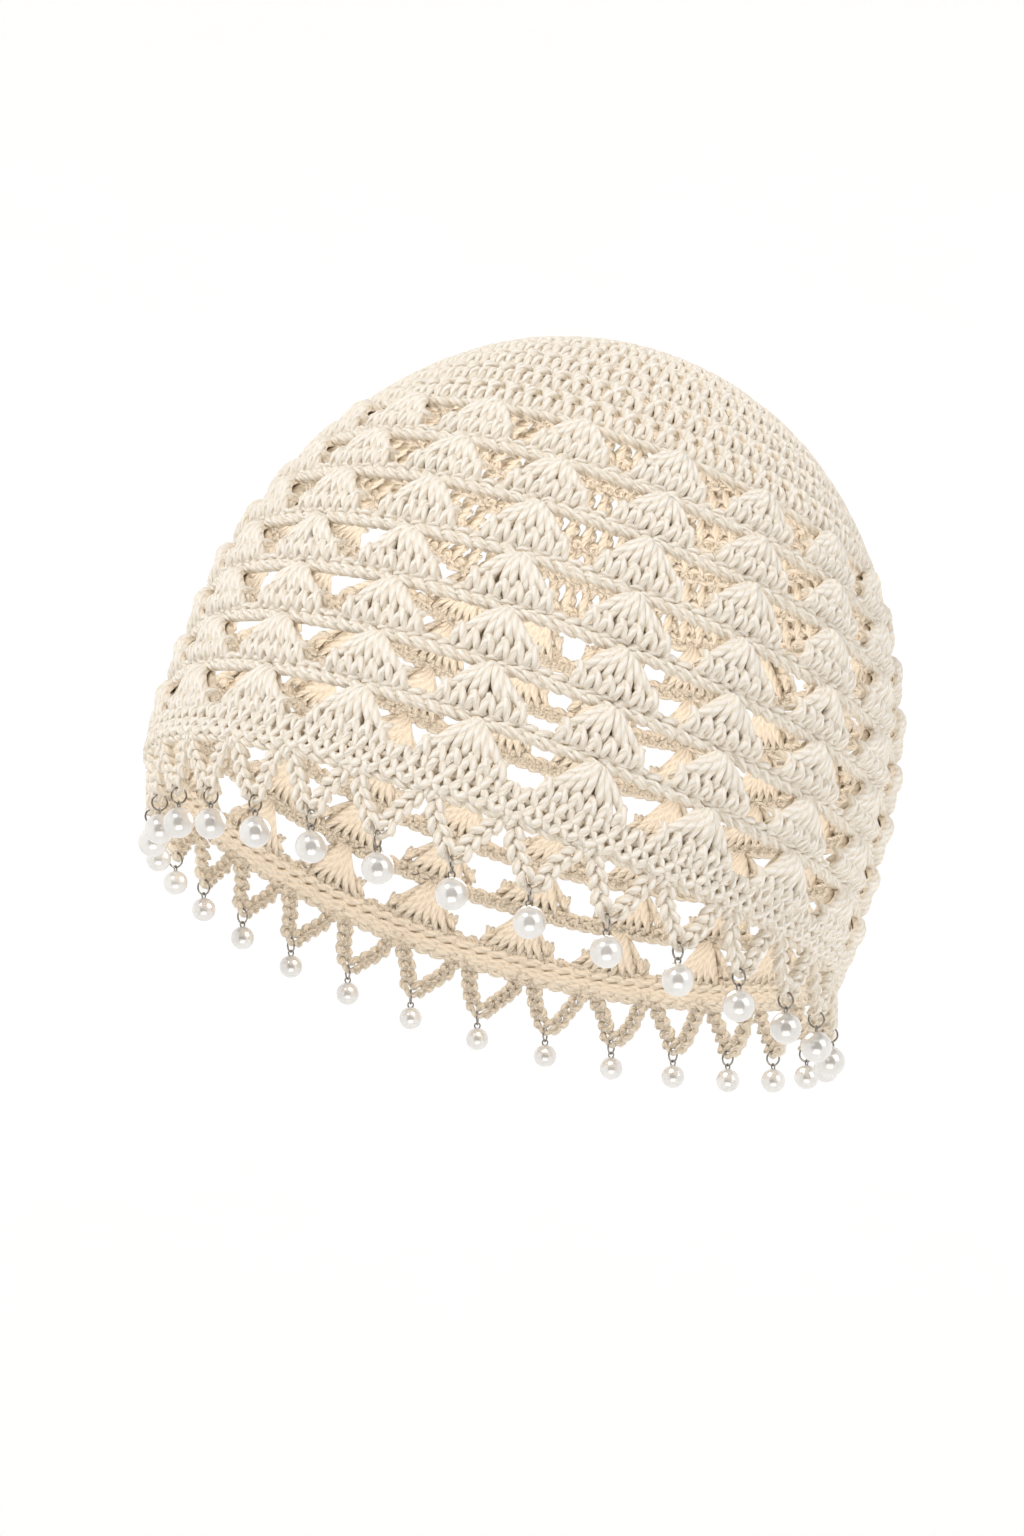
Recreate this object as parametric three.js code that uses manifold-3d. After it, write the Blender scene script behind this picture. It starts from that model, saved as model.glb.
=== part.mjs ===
// Crocheted cotton cap with a looped edge and pearl drops, as it hangs on a tilted head.
// Millimetres, +Z up. The front faces -Y. The origin is where the crown rests on the head.
import * as THREE from 'three';
import { mergeVertices } from 'three/addons/utils/BufferGeometryUtils.js';
import Module from 'manifold-3d';

const wasm = await Module();
wasm.setup();

// Cap
const rimRadius = 92;
const capHeight = 145;
const wall = 3.2;
const pieceGap = 0.3;
const capLean = 22.3;
const rimDip = 3.1;
const rimDipAzimuth = -22;

// Shell stitches: fans that spread from an apex, with a gap between neighbours
const fanColumns = 20;
const firstFanAzimuth = -58.9;
const closeFanRounds = 1;
const chainHeight = 2.2;
const fanNeckWidth = 12.5;
const fanFootHeight = 2.8;
const apexDrop = 3.4;
const fanLift = 1.3;

// Loops of chain under the rim, with a post of stitches between two loops
const loopCount = 30;
const firstPostAzimuth = -31.7;
const postWidth = 3.2;
const postLength = 3.4;
const loopDepth = 14.6;
const braidWidth = 4.4;
const braidThickness = 2.6;
const tipWidth = 1.4;
const tipFlat = 0.9;

// Drops: a jump ring through each loop's tip, an eye pin and a pearl
const ringDiameter = 4.4;
const ringWire = 0.5;
const ringGap = 0.4;
const pinWidth = 0.6;
const pinLength = 0.6;
const frontPearlDiameter = 7.6;
const backPearlDiameter = 6.4;
const frontPearls = 15;
const firstFrontPearl = 23;

// Courses from the pole down: height above the rim and outer radius as shares of the cap's
// height and the rim's radius, and how far the fan columns have drifted, as a share of a column
const courses = [
  { name: 'pole', height: 1, radius: 0, drift: -0.06 },
  { name: 'round_1', height: 0.975, radius: 0.265, drift: -0.06 },
  { name: 'round_2', height: 0.912, radius: 0.475, drift: -0.06 },
  { name: 'round_3', height: 0.838, radius: 0.618, drift: -0.06 },
  { name: 'round_4', height: 0.766, radius: 0.718, drift: -0.06 },
  { name: 'fans_1', height: 0.693, radius: 0.797, drift: -0.06 },
  { name: 'fans_2', height: 0.6, radius: 0.876, drift: -0.1 },
  { name: 'fans_3', height: 0.509, radius: 0.933, drift: -0.14 },
  { name: 'fans_4', height: 0.409, radius: 0.975, drift: -0.12 },
  { name: 'fans_5', height: 0.315, radius: 0.993, drift: -0.07 },
  { name: 'fans_6', height: 0.22, radius: 1.001, drift: -0.03 },
  { name: 'fans_7', height: 0.127, radius: 1.005, drift: 0.01 },
  { name: 'band', height: 0.033, radius: 1.003, drift: 0 },
  { name: 'rim', height: 0, radius: 1, drift: 0 },
];
const courseNumber = (name) => courses.findIndex((course) => course.name === name);
const fanRounds = courses.filter((course) => course.name.startsWith('fans')).length;

const profile = new THREE.SplineCurve(
  courses.map((course) => new THREE.Vector2(course.radius * rimRadius, course.height * capHeight)),
);
const lean = THREE.MathUtils.degToRad(capLean);
const up = new THREE.Vector3(0, 0, 1);

const yarn = new THREE.MeshStandardMaterial({ color: 0xf3e9dc, roughness: 0.95, metalness: 0 });
const pearl = new THREE.MeshStandardMaterial({ color: 0xf4f1ec, roughness: 0.18, metalness: 0 });

// Cap surface at a course (whole numbers are the rows of the table) and a column of fans:
// the point on the outer face and the outward normal
function surface(column, course) {
  const share = THREE.MathUtils.clamp(course / (courses.length - 1), 0, 1);
  const section = profile.getPoint(share);
  const tangent = profile.getTangent(share);
  const above = Math.min(Math.floor(course), courses.length - 2);
  const drift = THREE.MathUtils.lerp(courses[above].drift, courses[above + 1].drift, course - above);
  const azimuth = THREE.MathUtils.degToRad(firstFanAzimuth + (column + drift) * (360 / fanColumns));
  const dipAngle = azimuth - THREE.MathUtils.degToRad(rimDipAzimuth);
  const dip = rimDip * (1 - section.y / capHeight) * Math.cos(2 * dipAngle);
  const outward = new THREE.Vector3(Math.cos(azimuth), Math.sin(azimuth), 0);
  const point = outward.clone().multiplyScalar(section.x);
  point.z = section.y - dip;
  const normal = outward.multiplyScalar(-tangent.y);
  normal.z = tangent.x;
  return { point, normal: normal.normalize() };
}

// Closed body of a patterned sheet: the faces of one repeat, listed counter-clockwise as seen
// from outside, go round the cap, and each free edge gets a wall between the two skins.
// The inner skin repeats the outer one, or has the plainer faces that the pattern gives it
function patternedSheet(repeats, pattern, place) {
  const outer = [];
  const inner = [];
  const known = new Map();
  const edges = new Map();
  const vertex = (repeat, point) => {
    const skins = place(repeat + point.u, point.v, point.lift ?? 0);
    const key = skins.outer.toArray().map((value) => value.toFixed(3)).join();
    if (!known.has(key)) {
      known.set(key, outer.length);
      outer.push(skins.outer);
      inner.push(skins.inner);
    }
    return known.get(key);
  };
  const rings = (faces) => Array.from({ length: repeats }, (_, repeat) => (
    faces.map((face) => face.map((name) => vertex(repeat, pattern.points[name])))
  )).flat();
  const triangles = (ring) => ring.slice(2).map((corner, place) => [ring[0], ring[place + 1], corner]);
  const outerRings = rings(pattern.faces);
  const innerRings = rings(pattern.innerFaces ?? pattern.faces);
  for (const ring of outerRings) {
    ring.forEach((start, corner) => {
      const end = ring[(corner + 1) % ring.length];
      edges.set(`${start} ${end}`, [start, end]);
    });
  }
  const shift = outer.length;
  const index = outerRings.flatMap(triangles).flat();
  for (const [a, b, c] of innerRings.flatMap(triangles)) {
    index.push(shift + c, shift + b, shift + a);
  }
  for (const [start, end] of edges.values()) {
    if (!edges.has(`${end} ${start}`)) {
      index.push(end, start, shift + start, end, shift + start, shift + end);
    }
  }
  const geometry = new THREE.BufferGeometry().setFromPoints([...outer, ...inner]);
  geometry.setIndex(index);
  return geometry;
}

// Skins of the cap's wall between two courses, held back by half a gap at each end
function wallBetween(top, bottom) {
  const length = profile.getPoint(top / (courses.length - 1))
    .distanceTo(profile.getPoint(bottom / (courses.length - 1)));
  const inset = pieceGap / 2 / length;
  const first = top === 0 ? 0 : top + inset * (bottom - top);
  const last = bottom - inset * (bottom - top);
  return (column, v, lift) => {
    const { point, normal } = surface(column, THREE.MathUtils.lerp(first, last, v));
    return {
      outer: point.clone().addScaledVector(normal, lift),
      inner: point.clone().addScaledVector(normal, -wall),
    };
  };
}

// Crown: plain rounds from the pole to the first fans
function crown() {
  const edge = courseNumber('fans_1');
  const points = { pole: { u: 0, v: 0 } };
  const faces = [['pole', 'left1', 'right1']];
  for (let round = 1; round <= edge; round += 1) {
    points[`left${round}`] = { u: -0.5, v: round / edge };
    points[`right${round}`] = { u: 0.5, v: round / edge };
    if (round < edge) {
      faces.push([`left${round}`, `left${round + 1}`, `right${round + 1}`, `right${round}`]);
    }
  }
  return patternedSheet(fanColumns, { points, faces }, wallBetween(0, edge));
}

// One round of fans: each fan spreads from its apex, and a chain runs over the gap beside it
function fanRound(number) {
  const top = courseNumber(`fans_${number}`);
  const middle = surface(0, top + 0.5).point;
  const pitch = Math.hypot(middle.x, middle.y) * (2 * Math.PI / fanColumns);
  const height = surface(0, top).point.distanceTo(surface(0, top + 1).point);
  const neck = fanNeckWidth / 2 / pitch;
  const chain = chainHeight / height;
  const foot = 1 - fanFootHeight / height;
  const points = {
    topLeft: { u: -0.5, v: 0 },
    topRight: { u: 0.5, v: 0 },
    chainLeft: { u: -0.5, v: chain },
    neckLeft: { u: -neck, v: chain },
    neckRight: { u: neck, v: chain },
    chainRight: { u: 0.5, v: chain },
    apex: { u: 0, v: apexDrop / height, lift: fanLift },
    footLeft: { u: -0.5, v: foot },
    footRight: { u: 0.5, v: foot },
    bottomLeft: { u: -0.5, v: 1 },
    bottomRight: { u: 0.5, v: 1 },
  };
  const chainFaces = [
    ['topLeft', 'chainLeft', 'neckLeft'],
    ['topLeft', 'neckLeft', 'neckRight', 'topRight'],
    ['topRight', 'neckRight', 'chainRight'],
  ];
  const fanFaces = [
    ['neckLeft', 'apex', 'neckRight'],
    ['neckLeft', 'footLeft', 'apex'],
    ['footLeft', 'bottomLeft', 'apex'],
    ['bottomLeft', 'bottomRight', 'apex'],
    ['bottomRight', 'footRight', 'apex'],
    ['footRight', 'neckRight', 'apex'],
  ];
  const fanBack = ['neckLeft', 'footLeft', 'bottomLeft', 'bottomRight', 'footRight', 'neckRight'];
  const besideFan = [
    ['chainLeft', 'footLeft', 'neckLeft'],
    ['neckRight', 'footRight', 'chainRight'],
  ];
  const closed = number <= closeFanRounds ? besideFan : [];
  const pattern = {
    points,
    faces: [...chainFaces, ...fanFaces, ...closed],
    innerFaces: [...chainFaces, fanBack, ...closed],
  };
  return patternedSheet(fanColumns, pattern, wallBetween(top, top + 1));
}

// Column of fans at an azimuth
function columnAt(azimuth) {
  return (azimuth - firstFanAzimuth) / (360 / fanColumns);
}

// Rim band: close rounds of stitches under the last fans
function rimBand() {
  const top = courseNumber('band');
  const points = {
    topLeft: { u: -0.5, v: 0 },
    topRight: { u: 0.5, v: 0 },
    bottomLeft: { u: -0.5, v: 1 },
    bottomRight: { u: 0.5, v: 1 },
  };
  const faces = [['topLeft', 'bottomLeft', 'bottomRight', 'topRight']];
  const place = wallBetween(top, top + 1);
  const columnOf = (post) => columnAt(firstPostAzimuth + post * (360 / loopCount));
  return patternedSheet(loopCount, { points, faces }, (post, v, lift) => place(columnOf(post), v, lift));
}

// Frame of the looped edge under the rim, in the cap's own frame: the middle of the rim's lower
// edge, the way along it, and the way that a loop pulled by its drop lies
const pull = new THREE.Vector3(0, 0, -1).applyAxisAngle(new THREE.Vector3(1, 0, 0), lean);
const rim = courseNumber('rim');
const loopPitch = (2 * Math.PI * rimRadius) / loopCount;

function edgeFrame(post) {
  const azimuth = firstPostAzimuth + post * (360 / loopCount);
  const step = 0.5;
  const { point, normal } = surface(columnAt(azimuth), rim);
  const before = surface(columnAt(azimuth - step), rim).point;
  const along = surface(columnAt(azimuth + step), rim).point.sub(before).normalize();
  const down = pull.clone().addScaledVector(along, -pull.dot(along)).normalize();
  return {
    origin: point.addScaledVector(normal, -wall / 2),
    along,
    hanging: { down, outward: new THREE.Vector3().crossVectors(down, along) },
    seated: { down: new THREE.Vector3().crossVectors(along, normal), outward: normal },
  };
}

// Looped edge: posts under the rim with a chain of stitches hanging from post to post
function loopedEdge() {
  const tip = 0.5 * loopPitch;
  const seat = pieceGap / 2;
  const points = {
    postTopLeft: { x: -postWidth / 2, y: seat },
    postTopRight: { x: postWidth / 2, y: seat },
    postLeft: { x: -postWidth / 2, y: postLength },
    postRight: { x: postWidth / 2, y: postLength },
    crotch: { x: 0, y: postLength + braidWidth },
    eyeTopLeft: { x: tipFlat - tip, y: loopDepth - tipWidth, lift: tipWidth / 2 },
    eyeTopRight: { x: tip - tipFlat, y: loopDepth - tipWidth, lift: tipWidth / 2 },
    eyeLowLeft: { x: tipFlat - tip, y: loopDepth, lift: tipWidth / 2 },
    eyeLowRight: { x: tip - tipFlat, y: loopDepth, lift: tipWidth / 2 },
    tipTopLeft: { x: -tip, y: loopDepth - tipWidth, lift: tipWidth / 2 },
    tipTopRight: { x: tip, y: loopDepth - tipWidth, lift: tipWidth / 2 },
    tipLowLeft: { x: -tip, y: loopDepth, lift: tipWidth / 2 },
    tipLowRight: { x: tip, y: loopDepth, lift: tipWidth / 2 },
  };
  for (const point of Object.values(points)) {
    point.u = point.x / loopPitch;
    point.v = point.y;
    point.lift ??= braidThickness / 2;
  }
  const faces = [
    ['postTopLeft', 'postLeft', 'postRight', 'postTopRight'],
    ['postLeft', 'crotch', 'postRight'],
    ['postLeft', 'eyeTopLeft', 'eyeLowLeft', 'crotch'],
    ['eyeTopLeft', 'tipTopLeft', 'tipLowLeft', 'eyeLowLeft'],
    ['postRight', 'crotch', 'eyeLowRight', 'eyeTopRight'],
    ['eyeTopRight', 'eyeLowRight', 'tipLowRight', 'tipTopRight'],
  ];
  return patternedSheet(loopCount, { points, faces }, (post, depth, half) => {
    const { origin, hanging, seated } = edgeFrame(post);
    const { down, outward } = depth > seat ? hanging : seated;
    const middle = origin.addScaledVector(down, depth);
    return {
      outer: middle.clone().addScaledVector(outward, half),
      inner: middle.clone().addScaledVector(outward, -half),
    };
  });
}

// Closed solid of a geometry, for joining
function solid(geometry) {
  const bare = new THREE.BufferGeometry().setAttribute('position', geometry.getAttribute('position'));
  bare.setIndex(geometry.getIndex());
  const merged = mergeVertices(bare, 1e-4);
  return new wasm.Manifold(new wasm.Mesh({
    numProp: 3,
    vertProperties: new Float32Array(merged.getAttribute('position').array),
    triVerts: new Uint32Array(merged.getIndex().array),
  }));
}

// Drop, with its origin at the middle of the jump ring, which stands in the plane of X and Z
function dropGeometry(pearlDiameter) {
  const faceDirection = new THREE.Vector3(1, 1, 1).normalize();
  const ringSides = 10;
  const wireSides = 5;
  const pinSides = 3;
  const wire = ringWire / 2;
  const ringCentreRadius = ringDiameter / 2 - wire;
  const ring = new THREE.TorusGeometry(ringCentreRadius, wire, wireSides, ringSides);
  ring.rotateX(Math.PI / 2);
  const pinTop = -ringCentreRadius;
  const pearlTop = -ringDiameter / 2 - pinLength;
  const pearlCentre = pearlTop - pearlDiameter / 2;
  const sunk = 0.15 * pearlDiameter;
  const pin = new THREE.CylinderGeometry(pinWidth / 2, pinWidth / 2, pinTop - pearlTop + sunk, pinSides);
  pin.rotateX(Math.PI / 2);
  pin.translate(0, 0, (pinTop + pearlTop - sunk) / 2);
  const bead = new THREE.IcosahedronGeometry(pearlDiameter / 2, 1);
  bead.applyQuaternion(new THREE.Quaternion().setFromUnitVectors(faceDirection, up));
  bead.translate(0, 0, pearlCentre);
  const joined = solid(ring).add(solid(pin)).add(solid(bead)).getMesh();
  const geometry = new THREE.BufferGeometry();
  geometry.setAttribute('position', new THREE.BufferAttribute(joined.vertProperties, 3));
  geometry.setIndex(new THREE.BufferAttribute(joined.triVerts, 1));
  return geometry;
}

function add(parent, name, geometry, material) {
  geometry.computeVertexNormals();
  const mesh = new THREE.Mesh(geometry, material);
  mesh.name = name;
  parent.add(mesh);
  return mesh;
}

// The cap leans back about X, and its crown's inner face rests at the origin
const cap = new THREE.Group();
const restHeight = capHeight - wall;
cap.rotation.x = -lean;
cap.position.set(0, -restHeight * Math.sin(lean), -restHeight * Math.cos(lean));
cap.updateMatrix();

add(cap, 'crown', crown(), yarn);
for (let number = 1; number <= fanRounds; number += 1) {
  add(cap, `fan_round_${number}`, fanRound(number), yarn);
}
add(cap, 'rim_band', rimBand(), yarn);
add(cap, 'looped_edge', loopedEdge(), yarn);

// Each drop hangs upright from its loop's tip, the jump ring square to the chain
const drops = new THREE.Group();
const tipDepth = loopDepth - tipWidth / 2;
const ringInnerRadius = ringDiameter / 2 - ringWire;
const tipReach = Math.sqrt((ringInnerRadius - ringGap) ** 2 - (tipWidth / 2) ** 2);
const ringSag = tipReach - tipWidth / 2;
for (let number = 1; number <= loopCount; number += 1) {
  const { origin, hanging, along } = edgeFrame(number - 0.5);
  const centre = origin.addScaledVector(hanging.down, tipDepth).applyMatrix4(cap.matrix);
  centre.addScaledVector(up, -ringSag);
  const heading = along.transformDirection(cap.matrix);
  const order = (number - firstFrontPearl + loopCount) % loopCount;
  const diameter = order < frontPearls ? frontPearlDiameter : backPearlDiameter;
  const name = `pearl_drop_${String(number).padStart(2, '0')}`;
  const drop = add(drops, name, dropGeometry(diameter), pearl);
  drop.position.copy(centre);
  drop.rotation.z = Math.atan2(heading.y, heading.x) - Math.PI / 2;
}

const model = new THREE.Group();
model.add(cap, drops);

export default model;
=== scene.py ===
# %% [markdown]
# # A crocheted cap with pearl drops
# The cap is worked in one cotton yarn: close rounds over the crown, seven rounds of fans with
# gaps between them, a close band at the rim, and loops of chain with a pearl on each tip.
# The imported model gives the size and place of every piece. This file dresses it with yarn.

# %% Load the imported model
import math
import bpy
import numpy as np
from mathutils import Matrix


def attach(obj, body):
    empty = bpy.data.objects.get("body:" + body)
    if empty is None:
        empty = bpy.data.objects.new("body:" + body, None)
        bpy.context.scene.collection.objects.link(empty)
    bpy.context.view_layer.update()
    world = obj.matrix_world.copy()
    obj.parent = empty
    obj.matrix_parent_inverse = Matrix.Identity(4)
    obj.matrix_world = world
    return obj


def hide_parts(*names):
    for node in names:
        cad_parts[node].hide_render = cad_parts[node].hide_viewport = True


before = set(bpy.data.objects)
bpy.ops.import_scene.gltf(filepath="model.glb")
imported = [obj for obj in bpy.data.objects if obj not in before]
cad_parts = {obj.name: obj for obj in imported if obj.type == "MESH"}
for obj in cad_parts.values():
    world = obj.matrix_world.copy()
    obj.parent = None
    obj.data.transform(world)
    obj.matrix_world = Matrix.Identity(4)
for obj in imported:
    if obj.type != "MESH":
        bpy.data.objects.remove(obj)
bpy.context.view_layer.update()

# %% [markdown]
# ## The form that the yarn follows
# A cap is a surface of revolution whose rim dips at two sides. It could be sculpted from a dome,
# but stitches are counted round it and down it, so here it is a formula. A few courses, from the
# pole to the rim, give its height and radius, and a smooth curve through them gives everything
# between. The same courses carry the stitches, so a stitch is placed by its column and course.

# %% The cap's surface
MM = 0.001
RIM_RADIUS = 92 * MM
CAP_HEIGHT = 145 * MM
WALL = 3.2 * MM
CAP_LEAN = math.radians(22.3)
RIM_DIP = 3.1 * MM
RIM_DIP_AZIMUTH = math.radians(-22)
FAN_COLUMNS = 20
FIRST_FAN_AZIMUTH = math.radians(-58.9)
COLUMN_ANGLE = 2 * math.pi / FAN_COLUMNS

COURSES = [
    # name, height share, radius share, drift of the columns
    ("pole", 1, 0, -0.06),
    ("round_1", 0.975, 0.265, -0.06),
    ("round_2", 0.912, 0.475, -0.06),
    ("round_3", 0.838, 0.618, -0.06),
    ("round_4", 0.766, 0.718, -0.06),
    ("fans_1", 0.693, 0.797, -0.06),
    ("fans_2", 0.6, 0.876, -0.1),
    ("fans_3", 0.509, 0.933, -0.14),
    ("fans_4", 0.409, 0.975, -0.12),
    ("fans_5", 0.315, 0.993, -0.07),
    ("fans_6", 0.22, 1.001, -0.03),
    ("fans_7", 0.127, 1.005, 0.01),
    ("band", 0.033, 1.003, 0),
    ("rim", 0, 1, 0),
]
COURSE = {row[0]: number for number, row in enumerate(COURSES)}
COURSE_HEIGHT = np.array([row[1] for row in COURSES]) * CAP_HEIGHT
COURSE_RADIUS = np.array([row[2] for row in COURSES]) * RIM_RADIUS
COURSE_DRIFT = np.array([row[3] for row in COURSES], float)
LAST = len(COURSES) - 1


def spline(values, position):
    """A smooth curve through evenly spaced values: between two of them, the cubic whose slope at
    each end is half the difference of that value's neighbours. Returns the value and its slope."""
    start = np.clip(np.floor(position).astype(int), 0, LAST - 1)
    t = position - start
    before = values[np.maximum(start - 1, 0)]
    here = values[start]
    there = values[start + 1]
    after = values[np.minimum(start + 2, LAST)]
    leave = (there - before) / 2
    arrive = (after - here) / 2
    cubic = 2 * here - 2 * there + leave + arrive
    square = 3 * there - 3 * here - 2 * leave - arrive
    value = ((cubic * t + square) * t + leave) * t + here
    return value, (3 * cubic * t + 2 * square) * t + leave


def stand_up(points):
    """Leans points of the cap's own frame back about X."""
    x, y, z = points[..., 0], points[..., 1], points[..., 2]
    cosine, sine = math.cos(CAP_LEAN), math.sin(CAP_LEAN)
    return np.stack([x, y * cosine + z * sine, z * cosine - y * sine], axis=-1)


POLE_TO_RIM = stand_up(np.array([0, 0, CAP_HEIGHT - WALL]))


def cap_point(column, course, depth=0.0):
    """Point of the cap at a column of fans and a course, and the outward direction there. The
    radius and height come from the smooth curve, the rim dips with twice the azimuth, and depth
    moves the point outwards along the surface's normal."""
    column, course, depth = np.broadcast_arrays(
        np.asarray(column, float), np.asarray(course, float), np.asarray(depth, float))
    radius, radius_slope = spline(COURSE_RADIUS, course)
    height, height_slope = spline(COURSE_HEIGHT, course)
    drift = np.interp(course, np.arange(LAST + 1), COURSE_DRIFT)
    azimuth = FIRST_FAN_AZIMUTH + (column + drift) * COLUMN_ANGLE
    dip = RIM_DIP * (1 - height / CAP_HEIGHT) * np.cos(2 * (azimuth - RIM_DIP_AZIMUTH))
    length = np.hypot(radius_slope, height_slope)
    out_radius = -height_slope / length
    out_height = radius_slope / length
    cosine, sine = np.cos(azimuth), np.sin(azimuth)
    outward = np.stack([cosine * out_radius, sine * out_radius, out_height], axis=-1)
    point = np.stack([cosine * radius, sine * radius, height - dip], axis=-1)
    point = point + outward * depth[..., None]
    return stand_up(point) - POLE_TO_RIM, stand_up(outward)


crown_edge = cap_point(0, COURSE["fans_1"])[0]
print("front fan column meets the crown at", np.round(crown_edge, 4))

# %% [markdown]
# ## Strands of yarn
# Every stitch is a short run of the same round yarn, so one function carries a round section along
# many paths at once. The section stands on the surface's outward direction, which keeps it from
# twisting. The UV map holds the length along the yarn and the turn round it, and the material
# draws the twist of the plies from that. Each point also carries a painted shade. It is darker and
# warmer the deeper the point lies in the work and on the underside of its strand, and paler on
# top.

# %% Strand builder
YARN_RADIUS = 1.12 * MM
BACK_RADIUS = 1.25 * YARN_RADIUS
BACK_SIDES = 5
END_TAPER = 0.5
# The next two set the painted shade of deep yarn: the depth it spreads over, and its value at the
# wall's middle.
PAINTED_SHADE_REACH = 1.5 * MM
MIDDLE_PAINTED_SHADE = 0.6
TWIST_SHIFT = 1.7 * MM
ROPE_POINTS_PER_TURN = 9
BRAID_STAGGER = 0.15
BRAID_LEG = [
    # shares of the pitch along the path, of the width to its side, and of the rise outwards
    (-0.25, 0, -1.2),
    (0.15, 0.12, 2.2),
    (0.70, 0.85, 1.9),
    (1.10, 0.30, -1.2),
]


def unit(vectors):
    """Vectors divided by their own length."""
    return vectors / (np.linalg.norm(vectors, axis=-1, keepdims=True) + 1e-12)


def knots_of(*rows):
    """Knots of many strands: each row is one knot's three coordinates, and each of these is a
    number or an array with a value for every strand."""
    return np.stack([np.stack(np.broadcast_arrays(*row), axis=-1) for row in rows], axis=1)


def smooth_path(knots, steps):
    """Curves led by a few knots: the values (strands, knots, k) carried to steps points by the
    Bernstein weights, so the first and last knot are met and the others pull the curve."""
    order = knots.shape[1] - 1
    t = np.linspace(0, 1, steps)
    weights = np.stack([
        math.comb(order, n) * t ** n * (1 - t) ** (order - n) for n in range(order + 1)])
    return np.einsum("ks,nkc->nsc", weights, knots)


def strands(paths, outward, depth, radius=YARN_RADIUS, sides=6):
    """Tubes along paths of shape (strands, points, 3). At each point the section is a circle of
    the given radius, in the plane of the side direction (along crossed with outward) and of the
    lift (side crossed with along). Depth is how far out of the wall's middle a point lies."""
    count, steps, _ = paths.shape
    along = unit(np.gradient(paths, axis=1))
    side = unit(np.cross(along, outward))
    lift = np.cross(side, along)
    turn = np.arange(sides) * (2 * math.pi / sides)
    size = np.broadcast_to(np.asarray(radius, float), (count, steps)).copy()
    size[:, [0, -1]] *= END_TAPER
    across = np.cos(turn)[:, None] * side[:, :, None, :]
    upward = np.sin(turn)[:, None] * lift[:, :, None, :]
    points = paths[:, :, None, :] + (across + upward) * size[:, :, None, None]
    lengths = np.linalg.norm(np.diff(paths, axis=1), axis=2)
    run = np.concatenate([np.zeros((count, 1)), np.cumsum(lengths, axis=1)], axis=1)
    run = run + np.arange(count)[:, None] * TWIST_SHIFT
    depth = np.broadcast_to(depth, (count, steps))
    # Painted shade: darker deep in the work and on the underside of each strand, paler on its
    # outward top.
    stand = np.clip(MIDDLE_PAINTED_SHADE + depth / PAINTED_SHADE_REACH / 2, 0, 1)
    painted_shade = 0.5 * stand[:, :, None] + 0.25 * (1 + np.sin(turn))
    return {"points": points, "run": run, "painted_shade": painted_shade}


def surface_strands(knots, steps, **looks):
    """Strands whose knots are (column, course, depth) on the cap."""
    way = smooth_path(np.asarray(knots, float), steps)
    points, outward = cap_point(way[..., 0], way[..., 1], way[..., 2])
    return strands(points, outward, way[..., 2] + WALL / 2, **looks)


def lay(path, outward, way, closed=False, **looks):
    """Strands that follow one path of points (n, 3). The way (strands, steps, 3) holds the
    distance along the path, the offset to its side and the offset outwards. Each is looked up on
    the path by its running length, which starts again at the end of a closed path."""
    along = unit(np.gradient(path, axis=0))
    if closed:
        along[0] = along[-1] = unit(along[0] + along[-1])
    side = unit(np.cross(along, outward))
    run = np.concatenate([[0], np.cumsum(np.linalg.norm(np.diff(path, axis=0), axis=1))])
    distance = way[..., 0] % run[-1] if closed else way[..., 0]

    def at(table):
        return np.stack([np.interp(distance, run, table[:, k]) for k in range(3)], axis=-1)

    out = at(outward)
    points = at(path) + at(side) * way[..., 1:2] + out * way[..., 2:3]
    return strands(points, out, way[..., 2], **looks)


def braid(path, outward, pitch, width, rise, closed=False, steps=6, **looks):
    """A chain of crochet: pairs of plump legs that slant from the middle of the path to its edge
    and dive under the next pair. The pitch is rounded so that whole stitches fill the path."""
    length = np.linalg.norm(np.diff(path, axis=0), axis=1).sum()
    count = max(1, round(length / pitch))
    pitch = length / count
    stitch = np.arange(count) * pitch
    legs = []
    for hand in (-1, 1):
        start = stitch + BRAID_STAGGER * hand * pitch
        knots = knots_of(*[
            (start + ahead * pitch, hand * aside * width, out * rise)
            for ahead, aside, out in BRAID_LEG])
        if not closed:
            knots[..., 0] = np.clip(knots[..., 0], 0, length)
        legs.append(smooth_path(knots, steps))
    return lay(path, outward, np.concatenate(legs), closed, **looks)


def rope(path, outward, pitch, spread, plies=2, closed=False, **looks):
    """Plies wound round one another along the path: each is a helix of the given pitch whose
    distance from the path is the spread."""
    length = np.linalg.norm(np.diff(path, axis=0), axis=1).sum()
    turns = max(1, round(length / pitch))
    t = np.linspace(0, 1, turns * ROPE_POINTS_PER_TURN + 1)
    start = np.arange(plies)[:, None] * (2 * math.pi / plies)
    angle = start + 2 * math.pi * turns * t
    way = np.stack(np.broadcast_arrays(
        t * length, spread * np.cos(angle), spread * np.sin(angle)), axis=-1)
    if closed:
        # The last point stays just short of the end, where a closed path starts again.
        way[..., 0] = np.minimum(way[..., 0], length * 0.99999)
    return lay(path, outward, way, closed, **looks)


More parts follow.
